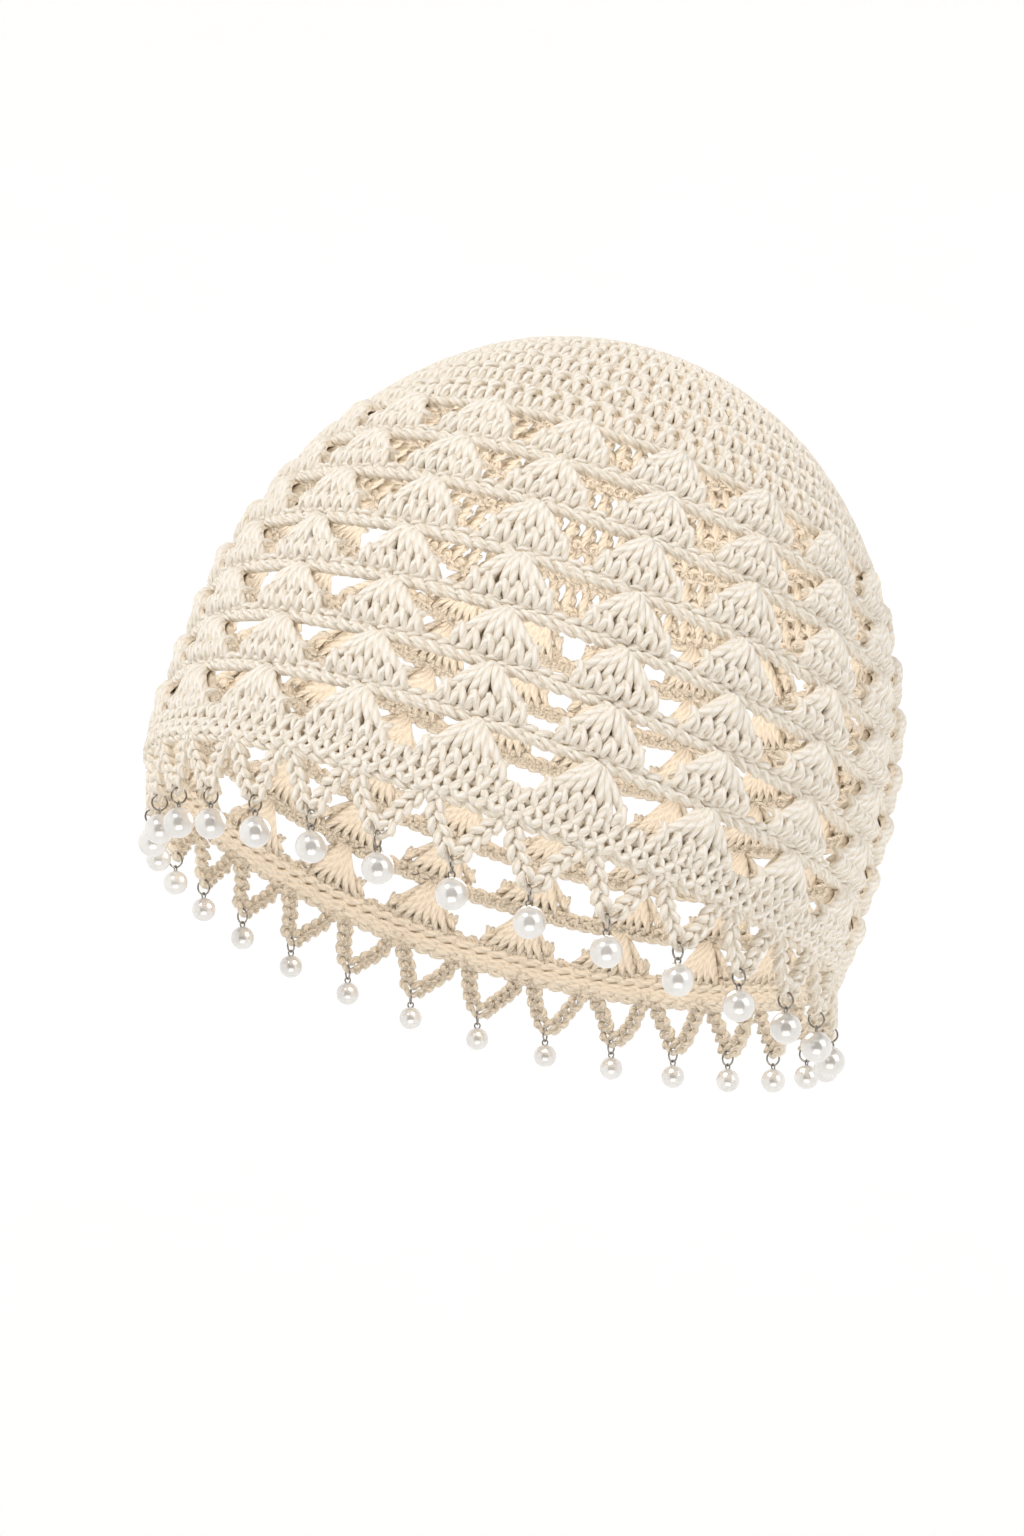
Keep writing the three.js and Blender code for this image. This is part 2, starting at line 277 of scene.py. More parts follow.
def yarn_piece(name, groups, material, *nodes):
    """One mesh of many groups of strands: quads between neighbouring rings, a face over each end,
    a UV map of millimetres along the yarn and turns round it, and the painted shade of each point."""
    vertices, faces, uvs, sizes, painted_shades = [], [], [], [], []
    first = 0
    for group in groups:
        points, run = group["points"], group["run"] / MM
        count, steps, sides, _ = points.shape
        index = first + np.arange(count * steps * sides).reshape(count, steps, sides)
        beside = np.roll(index, -1, axis=2)
        quads = np.stack([index[:, :-1], index[:, 1:], beside[:, 1:], beside[:, :-1]], axis=-1)
        turn = np.arange(sides + 1) / sides
        here = np.broadcast_to(run[:, :-1, None], quads.shape[:-1])
        there = np.broadcast_to(run[:, 1:, None], quads.shape[:-1])
        low = np.broadcast_to(turn[:-1], here.shape)
        high = np.broadcast_to(turn[1:], here.shape)
        corner_run = np.stack([here, there, there, here], axis=-1)
        corner_turn = np.stack([low, low, high, high], axis=-1)
        ends = np.concatenate([index[:, 0], index[:, -1, ::-1]])
        end_run = np.repeat(np.concatenate([run[:, 0], run[:, -1]])[:, None], sides, axis=1)
        end_turn = np.broadcast_to(turn[:-1], end_run.shape)
        faces += [quads.ravel(), ends.ravel()]
        uvs += [np.stack([corner_run.ravel(), corner_turn.ravel()], -1),
                np.stack([end_run.ravel(), end_turn.ravel()], -1)]
        sizes += [np.full(quads.size // 4, 4), np.full(len(ends), sides)]
        vertices.append(points.reshape(-1, 3))
        painted_shades.append(group["painted_shade"].ravel())
        first += count * steps * sides
    faces, sizes = np.concatenate(faces), np.concatenate(sizes)
    vertices = np.concatenate(vertices)
    mesh = bpy.data.meshes.new(name)
    mesh.vertices.add(len(vertices))
    mesh.vertices.foreach_set("co", vertices.ravel())
    mesh.loops.add(len(faces))
    mesh.loops.foreach_set("vertex_index", faces)
    mesh.polygons.add(len(sizes))
    mesh.polygons.foreach_set("loop_start", np.cumsum(sizes) - sizes)
    mesh.update(calc_edges=True)
    mesh.polygons.foreach_set("use_smooth", np.ones(len(sizes), bool))
    mesh.uv_layers.new(name="yarn").data.foreach_set("uv", np.concatenate(uvs).ravel())
    # The painted shade of each point, which the material turns into a darker, warmer colour.
    painted_shade = mesh.attributes.new("painted_shade", "FLOAT", "POINT")
    painted_shade.data.foreach_set("value", np.concatenate(painted_shades))
    mesh.materials.append(material)
    piece = bpy.data.objects.new(name, mesh)
    bpy.context.scene.collection.objects.link(piece)
    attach(piece, "root")
    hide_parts(*nodes)
    print(name, "has", int((sizes - 2).sum()), "triangles")


print("yarn is", 2 * YARN_RADIUS / MM, "mm thick")

# %% [markdown]
# ## Materials
# Cotton yarn is ecru, dull, and twisted from a few plies, so it carries fine slanting ridges.
# Painted shade makes its colour darker and warmer in the grooves between plies and deep in the
# work. A picture of yarn would blur and repeat, so nodes draw the twist from the UV map instead.
# An imitation pearl has a soft body colour under a clear hard skin, which is a coat on its shader.
# The rings and pins are silver-coloured wire.

# %% Materials
YARN_PLIES = 3
PLY_PITCH_MM = 3.1
FIBRES_ACROSS = 5.0
FIBRE_STRETCH = 0.25
# Weights of the yarn's colour: painted shade in the ply grooves, random fibre flecks, the painted
# shade of each point, and random patches.
PLY_GROOVE_SHADE = 0.2
FIBRE_TONE = 0.16
PAINTED_SHADE_WEIGHT = 0.62
PATCH_TONE = 0.06


def new_material(name):
    """A node material, the node tree to add to, and its shader."""
    material = bpy.data.materials.new(name)
    material.use_nodes = True
    tree = material.node_tree
    return material, tree, tree.nodes["Principled BSDF"]


def math_node(tree, operation, first, second=None, third=None):
    """A Math node whose inputs are sockets or numbers."""
    node = tree.nodes.new("ShaderNodeMath")
    node.operation = operation
    for socket, value in zip(node.inputs, (first, second, third)):
        if isinstance(value, bpy.types.NodeSocket):
            tree.links.new(value, socket)
        elif value is not None:
            socket.default_value = value
    return node.outputs[0]


def ply_twist_group():
    """A node group that turns the yarn's UV map into the height of its twisted plies, from 0 in
    the groove between two plies to 1 on a ply, with fine fibres laid along them."""
    group = bpy.data.node_groups.new("ply_twist", "ShaderNodeTree")
    group.interface.new_socket("Yarn UV", in_out="INPUT", socket_type="NodeSocketVector")
    group.interface.new_socket("Ply", in_out="OUTPUT", socket_type="NodeSocketFloat")
    group.interface.new_socket("Fibre", in_out="OUTPUT", socket_type="NodeSocketFloat")
    entry = group.nodes.new("NodeGroupInput")
    leave = group.nodes.new("NodeGroupOutput")
    split = group.nodes.new("ShaderNodeSeparateXYZ")
    group.links.new(entry.outputs[0], split.inputs[0])
    along = math_node(group, "DIVIDE", split.outputs[0], PLY_PITCH_MM)
    round_it = math_node(group, "MULTIPLY", split.outputs[1], float(YARN_PLIES))
    phase = math_node(group, "ADD", along, round_it)
    wave = math_node(group, "SINE", math_node(group, "MULTIPLY", phase, math.pi))
    ply = math_node(group, "ABSOLUTE", wave)
    lay_along = group.nodes.new("ShaderNodeCombineXYZ")
    group.links.new(math_node(group, "MULTIPLY", phase, FIBRES_ACROSS), lay_along.inputs[0])
    stretched = math_node(group, "MULTIPLY", split.outputs[0], FIBRE_STRETCH)
    group.links.new(stretched, lay_along.inputs[1])
    fibre = group.nodes.new("ShaderNodeTexNoise")
    fibre.inputs["Scale"].default_value = 1.6
    fibre.inputs["Detail"].default_value = 3
    group.links.new(lay_along.outputs[0], fibre.inputs["Vector"])
    group.links.new(ply, leave.inputs[0])
    group.links.new(fibre.outputs["Fac"], leave.inputs[1])
    return group


def yarn_material():
    """Ecru cotton with painted shade: darker and warmer in the grooves and deep in the work, pale
    on the plies, with a dull surface and a bump from the plies and fibres."""
    material, tree, shader = new_material("ecru_cotton")
    uv = tree.nodes.new("ShaderNodeUVMap")
    uv.uv_map = "yarn"
    twist = tree.nodes.new("ShaderNodeGroup")
    twist.node_tree = ply_twist_group()
    tree.links.new(uv.outputs[0], twist.inputs[0])
    painted_shade = tree.nodes.new("ShaderNodeAttribute")
    painted_shade.attribute_name = "painted_shade"
    place = tree.nodes.new("ShaderNodeTexCoord")
    patch = tree.nodes.new("ShaderNodeTexNoise")
    patch.inputs["Scale"].default_value = 45
    patch.inputs["Detail"].default_value = 2
    tree.links.new(place.outputs["Object"], patch.inputs["Vector"])
    # Painted shade: the colour darkens and warms into the grooves between plies.
    groove = math_node(tree, "MULTIPLY", twist.outputs["Ply"], PLY_GROOVE_SHADE)
    fleck = math_node(tree, "MULTIPLY", twist.outputs["Fibre"], FIBRE_TONE)
    # Painted shade of each point: darker deep in the work and on the undersides of strands.
    depth = math_node(tree, "MULTIPLY", painted_shade.outputs["Fac"], PAINTED_SHADE_WEIGHT)
    cloud = math_node(tree, "MULTIPLY", patch.outputs["Fac"], PATCH_TONE)
    amount = math_node(tree, "ADD", math_node(tree, "ADD", groove, depth), fleck)
    amount = math_node(tree, "ADD", amount, cloud)
    # The ramp runs from the tan of painted shade to the pale ecru of the tops; flecks and patches
    # shift it at random.
    ramp = tree.nodes.new("ShaderNodeValToRGB")
    ramp.color_ramp.elements[0].position = 0.22
    ramp.color_ramp.elements[0].color = (0.865, 0.75, 0.605, 1)
    ramp.color_ramp.elements[1].position = 0.88
    ramp.color_ramp.elements[1].color = (0.965, 0.915, 0.84, 1)
    middle = ramp.color_ramp.elements.new(0.67)
    middle.color = (0.925, 0.825, 0.68, 1)
    tree.links.new(amount, ramp.inputs[0])
    tree.links.new(ramp.outputs[0], shader.inputs["Base Color"])
    rough = math_node(tree, "MULTIPLY_ADD", twist.outputs["Fibre"], 0.2, 0.7)
    tree.links.new(rough, shader.inputs["Roughness"])
    shader.inputs["Specular IOR Level"].default_value = 0.25
    shader.inputs["Sheen Weight"].default_value = 0.2
    shader.inputs["Sheen Tint"].default_value = (1.0, 0.95, 0.87, 1)
    shader.inputs["Sheen Roughness"].default_value = 0.5
    height = math_node(tree, "ADD", twist.outputs["Ply"],
                       math_node(tree, "MULTIPLY", twist.outputs["Fibre"], 0.6))
    bump = tree.nodes.new("ShaderNodeBump")
    bump.inputs["Strength"].default_value = 0.9
    bump.inputs["Distance"].default_value = 0.0004
    tree.links.new(height, bump.inputs["Height"])
    tree.links.new(bump.outputs[0], shader.inputs["Normal"])
    return material


def pearl_material():
    """Imitation pearl: a soft white body, a touch warmer in cloudy patches, under a clear skin."""
    material, tree, shader = new_material("imitation_pearl")
    place = tree.nodes.new("ShaderNodeTexCoord")
    cloud = tree.nodes.new("ShaderNodeTexNoise")
    cloud.inputs["Scale"].default_value = 220
    cloud.inputs["Detail"].default_value = 2
    ramp = tree.nodes.new("ShaderNodeValToRGB")
    ramp.color_ramp.elements[0].position = 0.35
    ramp.color_ramp.elements[0].color = (0.66, 0.63, 0.59, 1)
    ramp.color_ramp.elements[1].position = 0.65
    ramp.color_ramp.elements[1].color = (0.75, 0.725, 0.695, 1)
    tree.links.new(place.outputs["Object"], cloud.inputs["Vector"])
    tree.links.new(cloud.outputs["Fac"], ramp.inputs[0])
    tree.links.new(ramp.outputs[0], shader.inputs["Base Color"])
    rough = math_node(tree, "MULTIPLY_ADD", cloud.outputs["Fac"], 0.08, 0.12)
    tree.links.new(rough, shader.inputs["Roughness"])
    shader.inputs["IOR"].default_value = 2.6
    shader.inputs["Specular IOR Level"].default_value = 0.8
    shader.inputs["Coat Weight"].default_value = 1.0
    shader.inputs["Coat Roughness"].default_value = 0.05
    return material


def wire_material():
    """Silver-coloured wire, slightly uneven in its polish."""
    material, tree, shader = new_material("silver_wire")
    place = tree.nodes.new("ShaderNodeTexCoord")
    wear = tree.nodes.new("ShaderNodeTexNoise")
    wear.inputs["Scale"].default_value = 1500
    tree.links.new(place.outputs["Object"], wear.inputs["Vector"])
    rough = math_node(tree, "MULTIPLY_ADD", wear.outputs["Fac"], 0.2, 0.15)
    tree.links.new(rough, shader.inputs["Roughness"])
    ramp = tree.nodes.new("ShaderNodeValToRGB")
    ramp.color_ramp.elements[0].color = (0.22, 0.20, 0.18, 1)
    ramp.color_ramp.elements[1].color = (0.42, 0.40, 0.37, 1)
    tree.links.new(wear.outputs["Fac"], ramp.inputs[0])
    tree.links.new(ramp.outputs[0], shader.inputs["Base Color"])
    shader.inputs["Metallic"].default_value = 1.0
    return material


YARN = yarn_material()
PEARL = pearl_material()
WIRE = wire_material()
print("materials:", [material.name for material in (YARN, PEARL, WIRE)])

# %% [markdown]
# ## Crown
# The close rounds are tall stitches side by side. Each stitch is a post of four short legs, two
# that lean together above and two that part below, with a small gap beside them. The heads of a
# round's stitches make a chain that runs round the cap. Bump on a smooth dome would be quicker,
# but its outline would stay smooth and no light would pass, so each leg is a strand of its own.
# A second layer lies behind, where the back of a stitch is.

# %% Crown
rng = np.random.default_rng(7)
CROWN_ROUNDS = 9
CROWN_STITCH = 5.3 * MM
CHAIN_WIDTH = 3.3 * MM
CROWN_LEGS = [
    # across from the stitch's middle, lean, and the shares of the round where it starts and ends
    (-0.30, 0.34, 0.0, 0.55),
    (0.24, -0.28, 0.12, 0.6),
    (-0.22, -0.06, 0.48, 1.0),
    (0.06, 0.26, 0.5, 1.0),
]
dense = np.linspace(0, COURSE["fans_1"], 400)
section = np.stack([spline(COURSE_RADIUS, dense)[0], spline(COURSE_HEIGHT, dense)[0]], -1)
section_run = np.concatenate([[0], np.cumsum(np.linalg.norm(np.diff(section, axis=0), axis=1))])


def round_path(course, points=400):
    """Closed path round the cap at one course, at the middle of the wall."""
    column = np.linspace(0, FAN_COLUMNS, points)
    return cap_point(column, course, -WALL / 2)


def crown_round(number):
    """The posts of one crown round and the chain of their heads."""
    top = np.interp((number + 0.12) / CROWN_ROUNDS, section_run / section_run[-1], dense)
    foot = np.interp((number + 0.98) / CROWN_ROUNDS, section_run / section_run[-1], dense)
    radius = spline(COURSE_RADIUS, np.array(foot))[0]
    count = max(9, round(2 * math.pi * radius / CROWN_STITCH))
    step = FAN_COLUMNS / count
    place = (np.arange(count) + 0.5 * (number % 2)) * step
    wobble = rng.normal(0, 0.04, (2, count)) * step
    height = foot - top
    groups = []
    for start, lean, first, last in CROWN_LEGS:
        knots = knots_of(
            (place + start * step, top + (first - 0.1) * height, -2.2 * MM),
            (place + start * step + wobble[0], top + (first + 0.08) * height, 1.6 * MM),
            (place + (start + lean) * step + wobble[1], top + (last - 0.12) * height, 1.4 * MM),
            (place + (start + lean) * step, top + (last + 0.08) * height, -2.4 * MM),
        )
        groups.append(surface_strands(knots, 6, radius=YARN_RADIUS * 1.02))
    backs = knots_of(
        (place + 0.1 * step, top, -1.6 * MM),
        (place + 0.2 * step, (top + foot) / 2, -2.2 * MM),
        (place + 0.1 * step, foot, -1.6 * MM),
    )
    groups.append(surface_strands(backs, 3, radius=BACK_RADIUS, sides=BACK_SIDES))
    path, outward = round_path(foot)
    groups.append(braid(path, outward, CROWN_STITCH * 0.95, CHAIN_WIDTH, 0.9 * MM, closed=True,
                        radius=YARN_RADIUS * 0.98, sides=5))
    return groups


crown_groups = []
for number in range(CROWN_ROUNDS):
    crown_groups += crown_round(number)
pole_path, pole_outward = round_path(0.16)
crown_groups.append(rope(pole_path, pole_outward, 5 * MM, 0.9 * MM, closed=True))
yarn_piece("crown_stitches", crown_groups, YARN, "crown")

# %% [markdown]
# ## Fan rounds
# Each fan is a cluster of tall stitches worked into one point of the round above. Its strands
# leave that point together, puff out and spread, and end in short wrapped feet. A chain runs from
# point to point above the gaps, and the heads of the stitches make a chain below them. Strands
# could be sculpted one by one, but a few knots and a little stray give every fan its own look.

# %% Fan rounds
FAN_ROUNDS = 7
FAN_STRANDS = 7
FAN_STEPS = 9
FAN_SWELL = 0.3
FAN_REACH = 0.36
FAN_BACKS = 6
FAN_FEET = 6


def fan_strands(column, row):
    """The long strands of the fans of one round. Strand s, from -1 to 1 across the fan, leaves the
    point, swings out and ends at the reach times s."""
    s = np.tile(np.linspace(-1, 1, FAN_STRANDS), len(column))
    middle = np.repeat(column, FAN_STRANDS)
    edge = np.abs(s)
    stray = rng.normal(0, 1, (5, len(s)))
    knots = knots_of(
        (middle + 0.02 * s, row - 0.02, -2.4 * MM),
        (middle + 0.09 * s + 0.008 * stray[0], row + 0.08 + 0.12 * edge + 0.02 * stray[1],
         (3.9 - 1.3 * edge + 0.4 * stray[4]) * MM),
        (middle + 0.25 * s + 0.012 * stray[2], row + 0.46 + 0.02 * edge,
         (2.5 - 1.1 * edge - 0.3 * stray[4]) * MM),
        (middle + FAN_REACH * s + 0.015 * stray[0], row + 0.74 + 0.035 * stray[3], -2.0 * MM),
    )
    swell = 1 + FAN_SWELL * np.sin(math.pi * np.linspace(0, 1, FAN_STEPS) ** 0.8)
    return surface_strands(knots, FAN_STEPS, radius=YARN_RADIUS * 0.86 * swell)


def fan_backs(column, row):
    """The strands behind a fan, which close it against the light."""
    s = np.tile(np.linspace(-0.8, 0.8, FAN_BACKS), len(column))
    middle = np.repeat(column, FAN_BACKS)
    knots = knots_of(
        (middle + 0.05 * s, row + 0.02, -2.3 * MM),
        (middle + 0.14 * s, row + 0.42, -2.2 * MM),
        (middle + FAN_REACH * s, row + 0.90, -2.3 * MM),
    )
    return surface_strands(knots, 4, radius=BACK_RADIUS, sides=BACK_SIDES)


def fan_feet(column, row):
    """The short legs below the long strands: pairs that part downwards from one point."""
    s = np.tile(np.linspace(-0.86, 0.86, FAN_FEET), len(column))
    middle = np.repeat(column, FAN_FEET)
    edge = np.abs(s)
    groups = []
    for hand in (-1, 1):
        stray = rng.normal(0, 1, (2, len(s)))
        top = middle + FAN_REACH * s
        knots = knots_of(
            (top - 0.03 * hand, row + 0.50 - 0.06 * edge, -1.8 * MM),
            (top - 0.02 * hand + 0.012 * stray[0], row + 0.60 - 0.04 * edge,
             (2.2 + 0.9 * hand) * MM),
            (top + 0.06 * hand + 0.012 * stray[1], row + 0.76, (2.2 - 0.9 * hand) * MM),
            (top + 0.04 * hand, row + 0.90, -2.2 * MM),
        )
        groups.append(surface_strands(knots, 6, radius=YARN_RADIUS * 0.95))
    return groups


def heads_path(row):
    """Path of the chain below the gaps: it runs low under a fan and a little higher between."""
    column = np.linspace(0, FAN_COLUMNS, 600)
    lift = 0.5 - 0.5 * np.cos(2 * math.pi * column)
    return cap_point(column, row + 0.94 - 0.03 * lift, -WALL / 2)


def gap_chains(row):
    """The chains from point to point, which pass above the gaps."""
    groups = []
    for column in range(FAN_COLUMNS):
        u = np.linspace(0.03, 0.97, 24)
        sag = 0.02 * np.sin(math.pi * u) - 0.02
        path, outward = cap_point(column + u, row + sag, -WALL / 2)
        groups.append(braid(path, outward, 3.8 * MM, 1.7 * MM, 0.8 * MM,
                            radius=YARN_RADIUS * 0.72))
    return groups


for number in range(1, FAN_ROUNDS + 1):
    row = COURSE["fans_1"] + number - 1
    column = np.arange(FAN_COLUMNS, dtype=float)
    path, outward = heads_path(row)
    groups = [
        fan_strands(column, row),
        fan_backs(column, row),
        braid(path, outward, 3.9 * MM, 2.5 * MM, 0.9 * MM, closed=True,
              radius=YARN_RADIUS * 0.85),
    ]
    groups += fan_feet(column, row) + gap_chains(row)
    yarn_piece(f"fan_stitches_{number}", groups, YARN, f"fan_round_{number}")

# %% [markdown]
# ## Rim band
# Below the last fans the cap ends in three close low rounds. Each stitch of a low round shows as a
# small V that stands on the stitch below it, and the last round is finished with a chain. One V
# could be modelled and copied by an array, but the cap's formula already bends whole rows of them
# to the rim, so the legs of a row are made together. A rope of two plies runs along each row.

# %% Rim band
BAND_STITCHES = 132
BAND_ROWS = 3
BAND_TOP = COURSE["band"] - 0.22
BAND_ROW = (COURSE["rim"] - 0.1 - BAND_TOP) / BAND_ROWS


def vee_row(top, number):
    """One low round: two legs for each stitch, which meet below and part upwards."""
    step = FAN_COLUMNS / BAND_STITCHES
    place = (np.arange(BAND_STITCHES) + 0.5 * (number % 2)) * step
    groups = []
    for hand in (-1, 1):
        stray = rng.normal(0, 1, (3, BAND_STITCHES))
        knots = knots_of(
            (place + hand * 0.40 * step, top - 0.12 * BAND_ROW, -1.6 * MM),
            (place + (hand * 0.36 + 0.05 * stray[0]) * step, top, (1.3 + 0.25 * stray[1]) * MM),
            (place + (hand * 0.12 + 0.05 * stray[2]) * step, top + 0.8 * BAND_ROW,
             (0.9 + 0.5 * hand) * MM),
            (place - hand * 0.04 * step, top + 1.2 * BAND_ROW, -1.8 * MM),
        )
        groups.append(surface_strands(knots, 6, radius=YARN_RADIUS * 0.92))
    return groups


band_groups = []
for number in range(BAND_ROWS):
    band_groups += vee_row(BAND_TOP + number * BAND_ROW, number)
    path, outward = round_path(BAND_TOP + (number + 0.6) * BAND_ROW)
    band_groups.append(rope(path, outward, 10 * MM, 0.6 * MM, closed=True, sides=5,
                            radius=YARN_RADIUS))
path, outward = round_path(COURSE["rim"] - 0.14)
band_groups.append(braid(path, outward, 4.4 * MM, 2.6 * MM, 0.7 * MM, closed=True,
                         radius=YARN_RADIUS * 0.85))
yarn_piece("rim_stitches", band_groups, YARN, "rim_band")

# %% [markdown]
# ## Looped edge
# The edge is a chain that runs down and up between the rim and the pearls. At each post it joins
# the rim, and at each tip its yarn passes through a jump ring. It could be draped by a simulation,
# but each loop is short and stiff, so the bow of its two arms is a power of the way down.

# %% Looped edge
LOOPS = 30
FIRST_POST_AZIMUTH = math.radians(-31.7)
LOOP_DEPTH = 14.6 * MM
TIP_WIDTH = 1.4 * MM
ARM_WIDTH = 3.1 * MM
ARM_POINTS = 24
ARM_START_MM = -1.2
ARM_FALL_MM = 13.6
STEEP_BOW = 1.7
ARCHED_BOW = 0.8
PULL = np.array([0.0, 0.0, -1.0])


def edge_frame(post):
    """Where the edge hangs from the rim at a post number: the middle of the rim's wall, the
    direction along the rim, straight down square to it, and the direction out of the cap."""
    post = np.asarray(post, float)
    azimuth = FIRST_POST_AZIMUTH + post * (2 * math.pi / LOOPS)
    column = (azimuth - FIRST_FAN_AZIMUTH) / COLUMN_ANGLE
    turn = math.radians(0.5) / COLUMN_ANGLE
    origin = cap_point(column, COURSE["rim"], -WALL / 2)[0]
    ahead = cap_point(column + turn, COURSE["rim"])[0]
    behind = cap_point(column - turn, COURSE["rim"])[0]
    along = unit(ahead - behind)
    down = unit(PULL - along * (along @ PULL)[..., None])
    return origin, along, down, np.cross(down, along)


def edge_point(post, drop):
    """Point of the hanging edge at a post number and a drop below the rim."""
    origin, _, down, out = edge_frame(post)
    return origin + down * np.asarray(drop, float)[..., None], out


def loop_arm(post, hand):
    """The chain from a post down to the tip on one side of it. The twist of the chain bows the
    arms: those ahead of a post fall steeply and then turn to the tip, those behind it arch."""
    t = np.linspace(0, 1, ARM_POINTS)
    sway = 0.03 * np.sin(2 * math.pi * (t + rng.random()))
    bow = STEEP_BOW if hand > 0 else ARCHED_BOW
    reach = hand * (0.06 + 0.38 * t ** bow + sway * np.sin(math.pi * t))
    drop = (ARM_START_MM + ARM_FALL_MM * t) * MM
    path, outward = edge_point(post + reach, drop)
    return braid(path, outward, 2.9 * MM, ARM_WIDTH, 1.0 * MM, radius=YARN_RADIUS * 0.9)


def tip_yarn(post):
    """The strand that closes a loop at its tip and passes through the ring."""
    origin, along, down, out = edge_frame(post)
    u = np.linspace(-1, 1, 11)[:, None]
    fall = (LOOP_DEPTH - TIP_WIDTH / 2) - 3.1 * MM * np.abs(u) ** 1.7
    path = origin + along * u * 2.9 * MM + down * fall
    outward = np.broadcast_to(out, path.shape)
    return strands(path[None], outward[None], 0.0, radius=0.78 * MM, sides=6)


edge_groups = []
for post in range(LOOPS):
    edge_groups += [loop_arm(post, -1), loop_arm(post, 1), tip_yarn(post + 0.5)]
yarn_piece("looped_edge_stitches", edge_groups, YARN, "looped_edge")

# %% [markdown]
# ## Pearl drops
# A jump ring hangs on each tip, the eye of a pin hangs on the ring, and the pin holds the pearl.
# The pearls of the near side are a size larger than those of the far side. Blender's own torus and
# sphere would do, but grids made here are joined in one mesh at once, where the drop hangs.

# %% Pearl drops
RING_DIAMETER = 4.4 * MM
RING_WIRE = 0.5 * MM
RING_GAP = 0.4 * MM
PIN_LENGTH = 0.6 * MM
FRONT_PEARL = 7.6 * MM
BACK_PEARL = 6.4 * MM
FRONT_PEARLS = 15
FIRST_FRONT_PEARL = 23
EYE_RADIUS = 0.78 * MM
EYE_WIRE = 0.42 * MM
RING_ROWS = 28
RING_COLUMNS = 10
EYE_ROWS = 20
EYE_COLUMNS = 8
BALL_ROWS = 22
BALL_COLUMNS = 32


def grid_faces(first, rows, columns, closed_rows):
    """Quads of a grid of points that closes on itself across, and along as well if asked."""
    index = first + np.arange(rows * columns).reshape(rows, columns)
    beside = np.roll(index, -1, axis=1)
    if closed_rows:
        below, corner = np.roll(index, -1, axis=0), np.roll(beside, -1, axis=0)
        return np.stack([index, below, corner, beside], -1).reshape(-1, 4)
    return np.stack([index[:-1], index[1:], beside[1:], beside[:-1]], -1).reshape(-1, 4)


def ring_points(centre, radius, wire, plane, rows, columns):
    """Torus: a circle of the wire's radius carried round a circle in the plane of two axes."""
    across, upward = (np.eye(3)[k] for k in plane)
    third = np.cross(across, upward)
    a = np.linspace(0, 2 * math.pi, rows, endpoint=False)[:, None, None]
    b = np.linspace(0, 2 * math.pi, columns, endpoint=False)[None, :, None]
    spoke = np.cos(a) * across + np.sin(a) * upward
    points = centre + spoke * (radius + wire * np.cos(b)) + third * wire * np.sin(b)
    return points.reshape(-1, 3)


def ball_points(centre, radius):
    """Sphere from just under its top to just over its bottom, to be closed by two small faces."""
    polar = np.linspace(0.05, math.pi - 0.05, BALL_ROWS)[:, None]
    turn = np.linspace(0, 2 * math.pi, BALL_COLUMNS, endpoint=False)[None, :]
    points = np.stack([
        np.sin(polar) * np.cos(turn), np.sin(polar) * np.sin(turn), np.cos(polar) + 0 * turn], -1)
    return (centre + radius * points).reshape(-1, 3)


def pearl_drop(number):
    """One drop with its ring, eye and pearl, hung on its tip."""
    origin, along, down, _ = edge_frame(number - 0.5)
    reach = math.sqrt((RING_DIAMETER / 2 - RING_WIRE - RING_GAP) ** 2 - (TIP_WIDTH / 2) ** 2)
    sag = reach - TIP_WIDTH / 2
    centre = origin + down * (LOOP_DEPTH - TIP_WIDTH / 2) + PULL * sag
    turn = math.atan2(along[1], along[0]) - math.pi / 2
    is_front = (number - FIRST_FRONT_PEARL) % LOOPS < FRONT_PEARLS
    size = FRONT_PEARL if is_front else BACK_PEARL
    top = -RING_DIAMETER / 2 - PIN_LENGTH
    middle = np.array([0, 0, top - size / 2])
    bottom_wire = -(RING_DIAMETER - RING_WIRE) / 2
    eye = np.array([0, 0, bottom_wire - EYE_RADIUS + RING_WIRE / 2 + EYE_WIRE / 2])
    ring = ring_points(np.zeros(3), (RING_DIAMETER - RING_WIRE) / 2, RING_WIRE / 2, (0, 2),
                       RING_ROWS, RING_COLUMNS)
    loop = ring_points(eye, EYE_RADIUS, EYE_WIRE / 2, (1, 2), EYE_ROWS, EYE_COLUMNS)
    ball = ball_points(middle, size / 2)
    points = np.concatenate([ring, loop, ball])
    ring_faces = grid_faces(0, RING_ROWS, RING_COLUMNS, True)
    loop_faces = grid_faces(len(ring), EYE_ROWS, EYE_COLUMNS, True)
    start = len(ring) + len(loop)
    ball_faces = grid_faces(start, BALL_ROWS, BALL_COLUMNS, False)
    faces = np.concatenate([ring_faces, loop_faces, ball_faces]).tolist()
    faces.append(list(range(start, start + BALL_COLUMNS)))
    faces.append(list(range(len(points) - BALL_COLUMNS, len(points)))[::-1])
    cosine, sine = math.cos(turn), math.sin(turn)
    spin = np.array([[cosine, -sine, 0], [sine, cosine, 0], [0, 0, 1]])
    points = points @ spin.T + centre
    name = f"drop_{number:02d}"
    mesh = bpy.data.meshes.new(name)
    mesh.from_pydata(points.tolist(), [], faces)
    mesh.materials.append(PEARL)
    mesh.materials.append(WIRE)
    wire_faces = len(ring_faces) + len(loop_faces)
    mesh.polygons.foreach_set("material_index", (np.arange(len(faces)) < wire_faces).astype(int))
    mesh.polygons.foreach_set("use_smooth", np.ones(len(faces), bool))
    piece = bpy.data.objects.new(name, mesh)
    bpy.context.scene.collection.objects.link(piece)
    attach(piece, "root")
    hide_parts(f"pearl_drop_{number:02d}")
    return piece


drops = [pearl_drop(number) for number in range(1, LOOPS + 1)]
print(len(drops), "pearl drops")

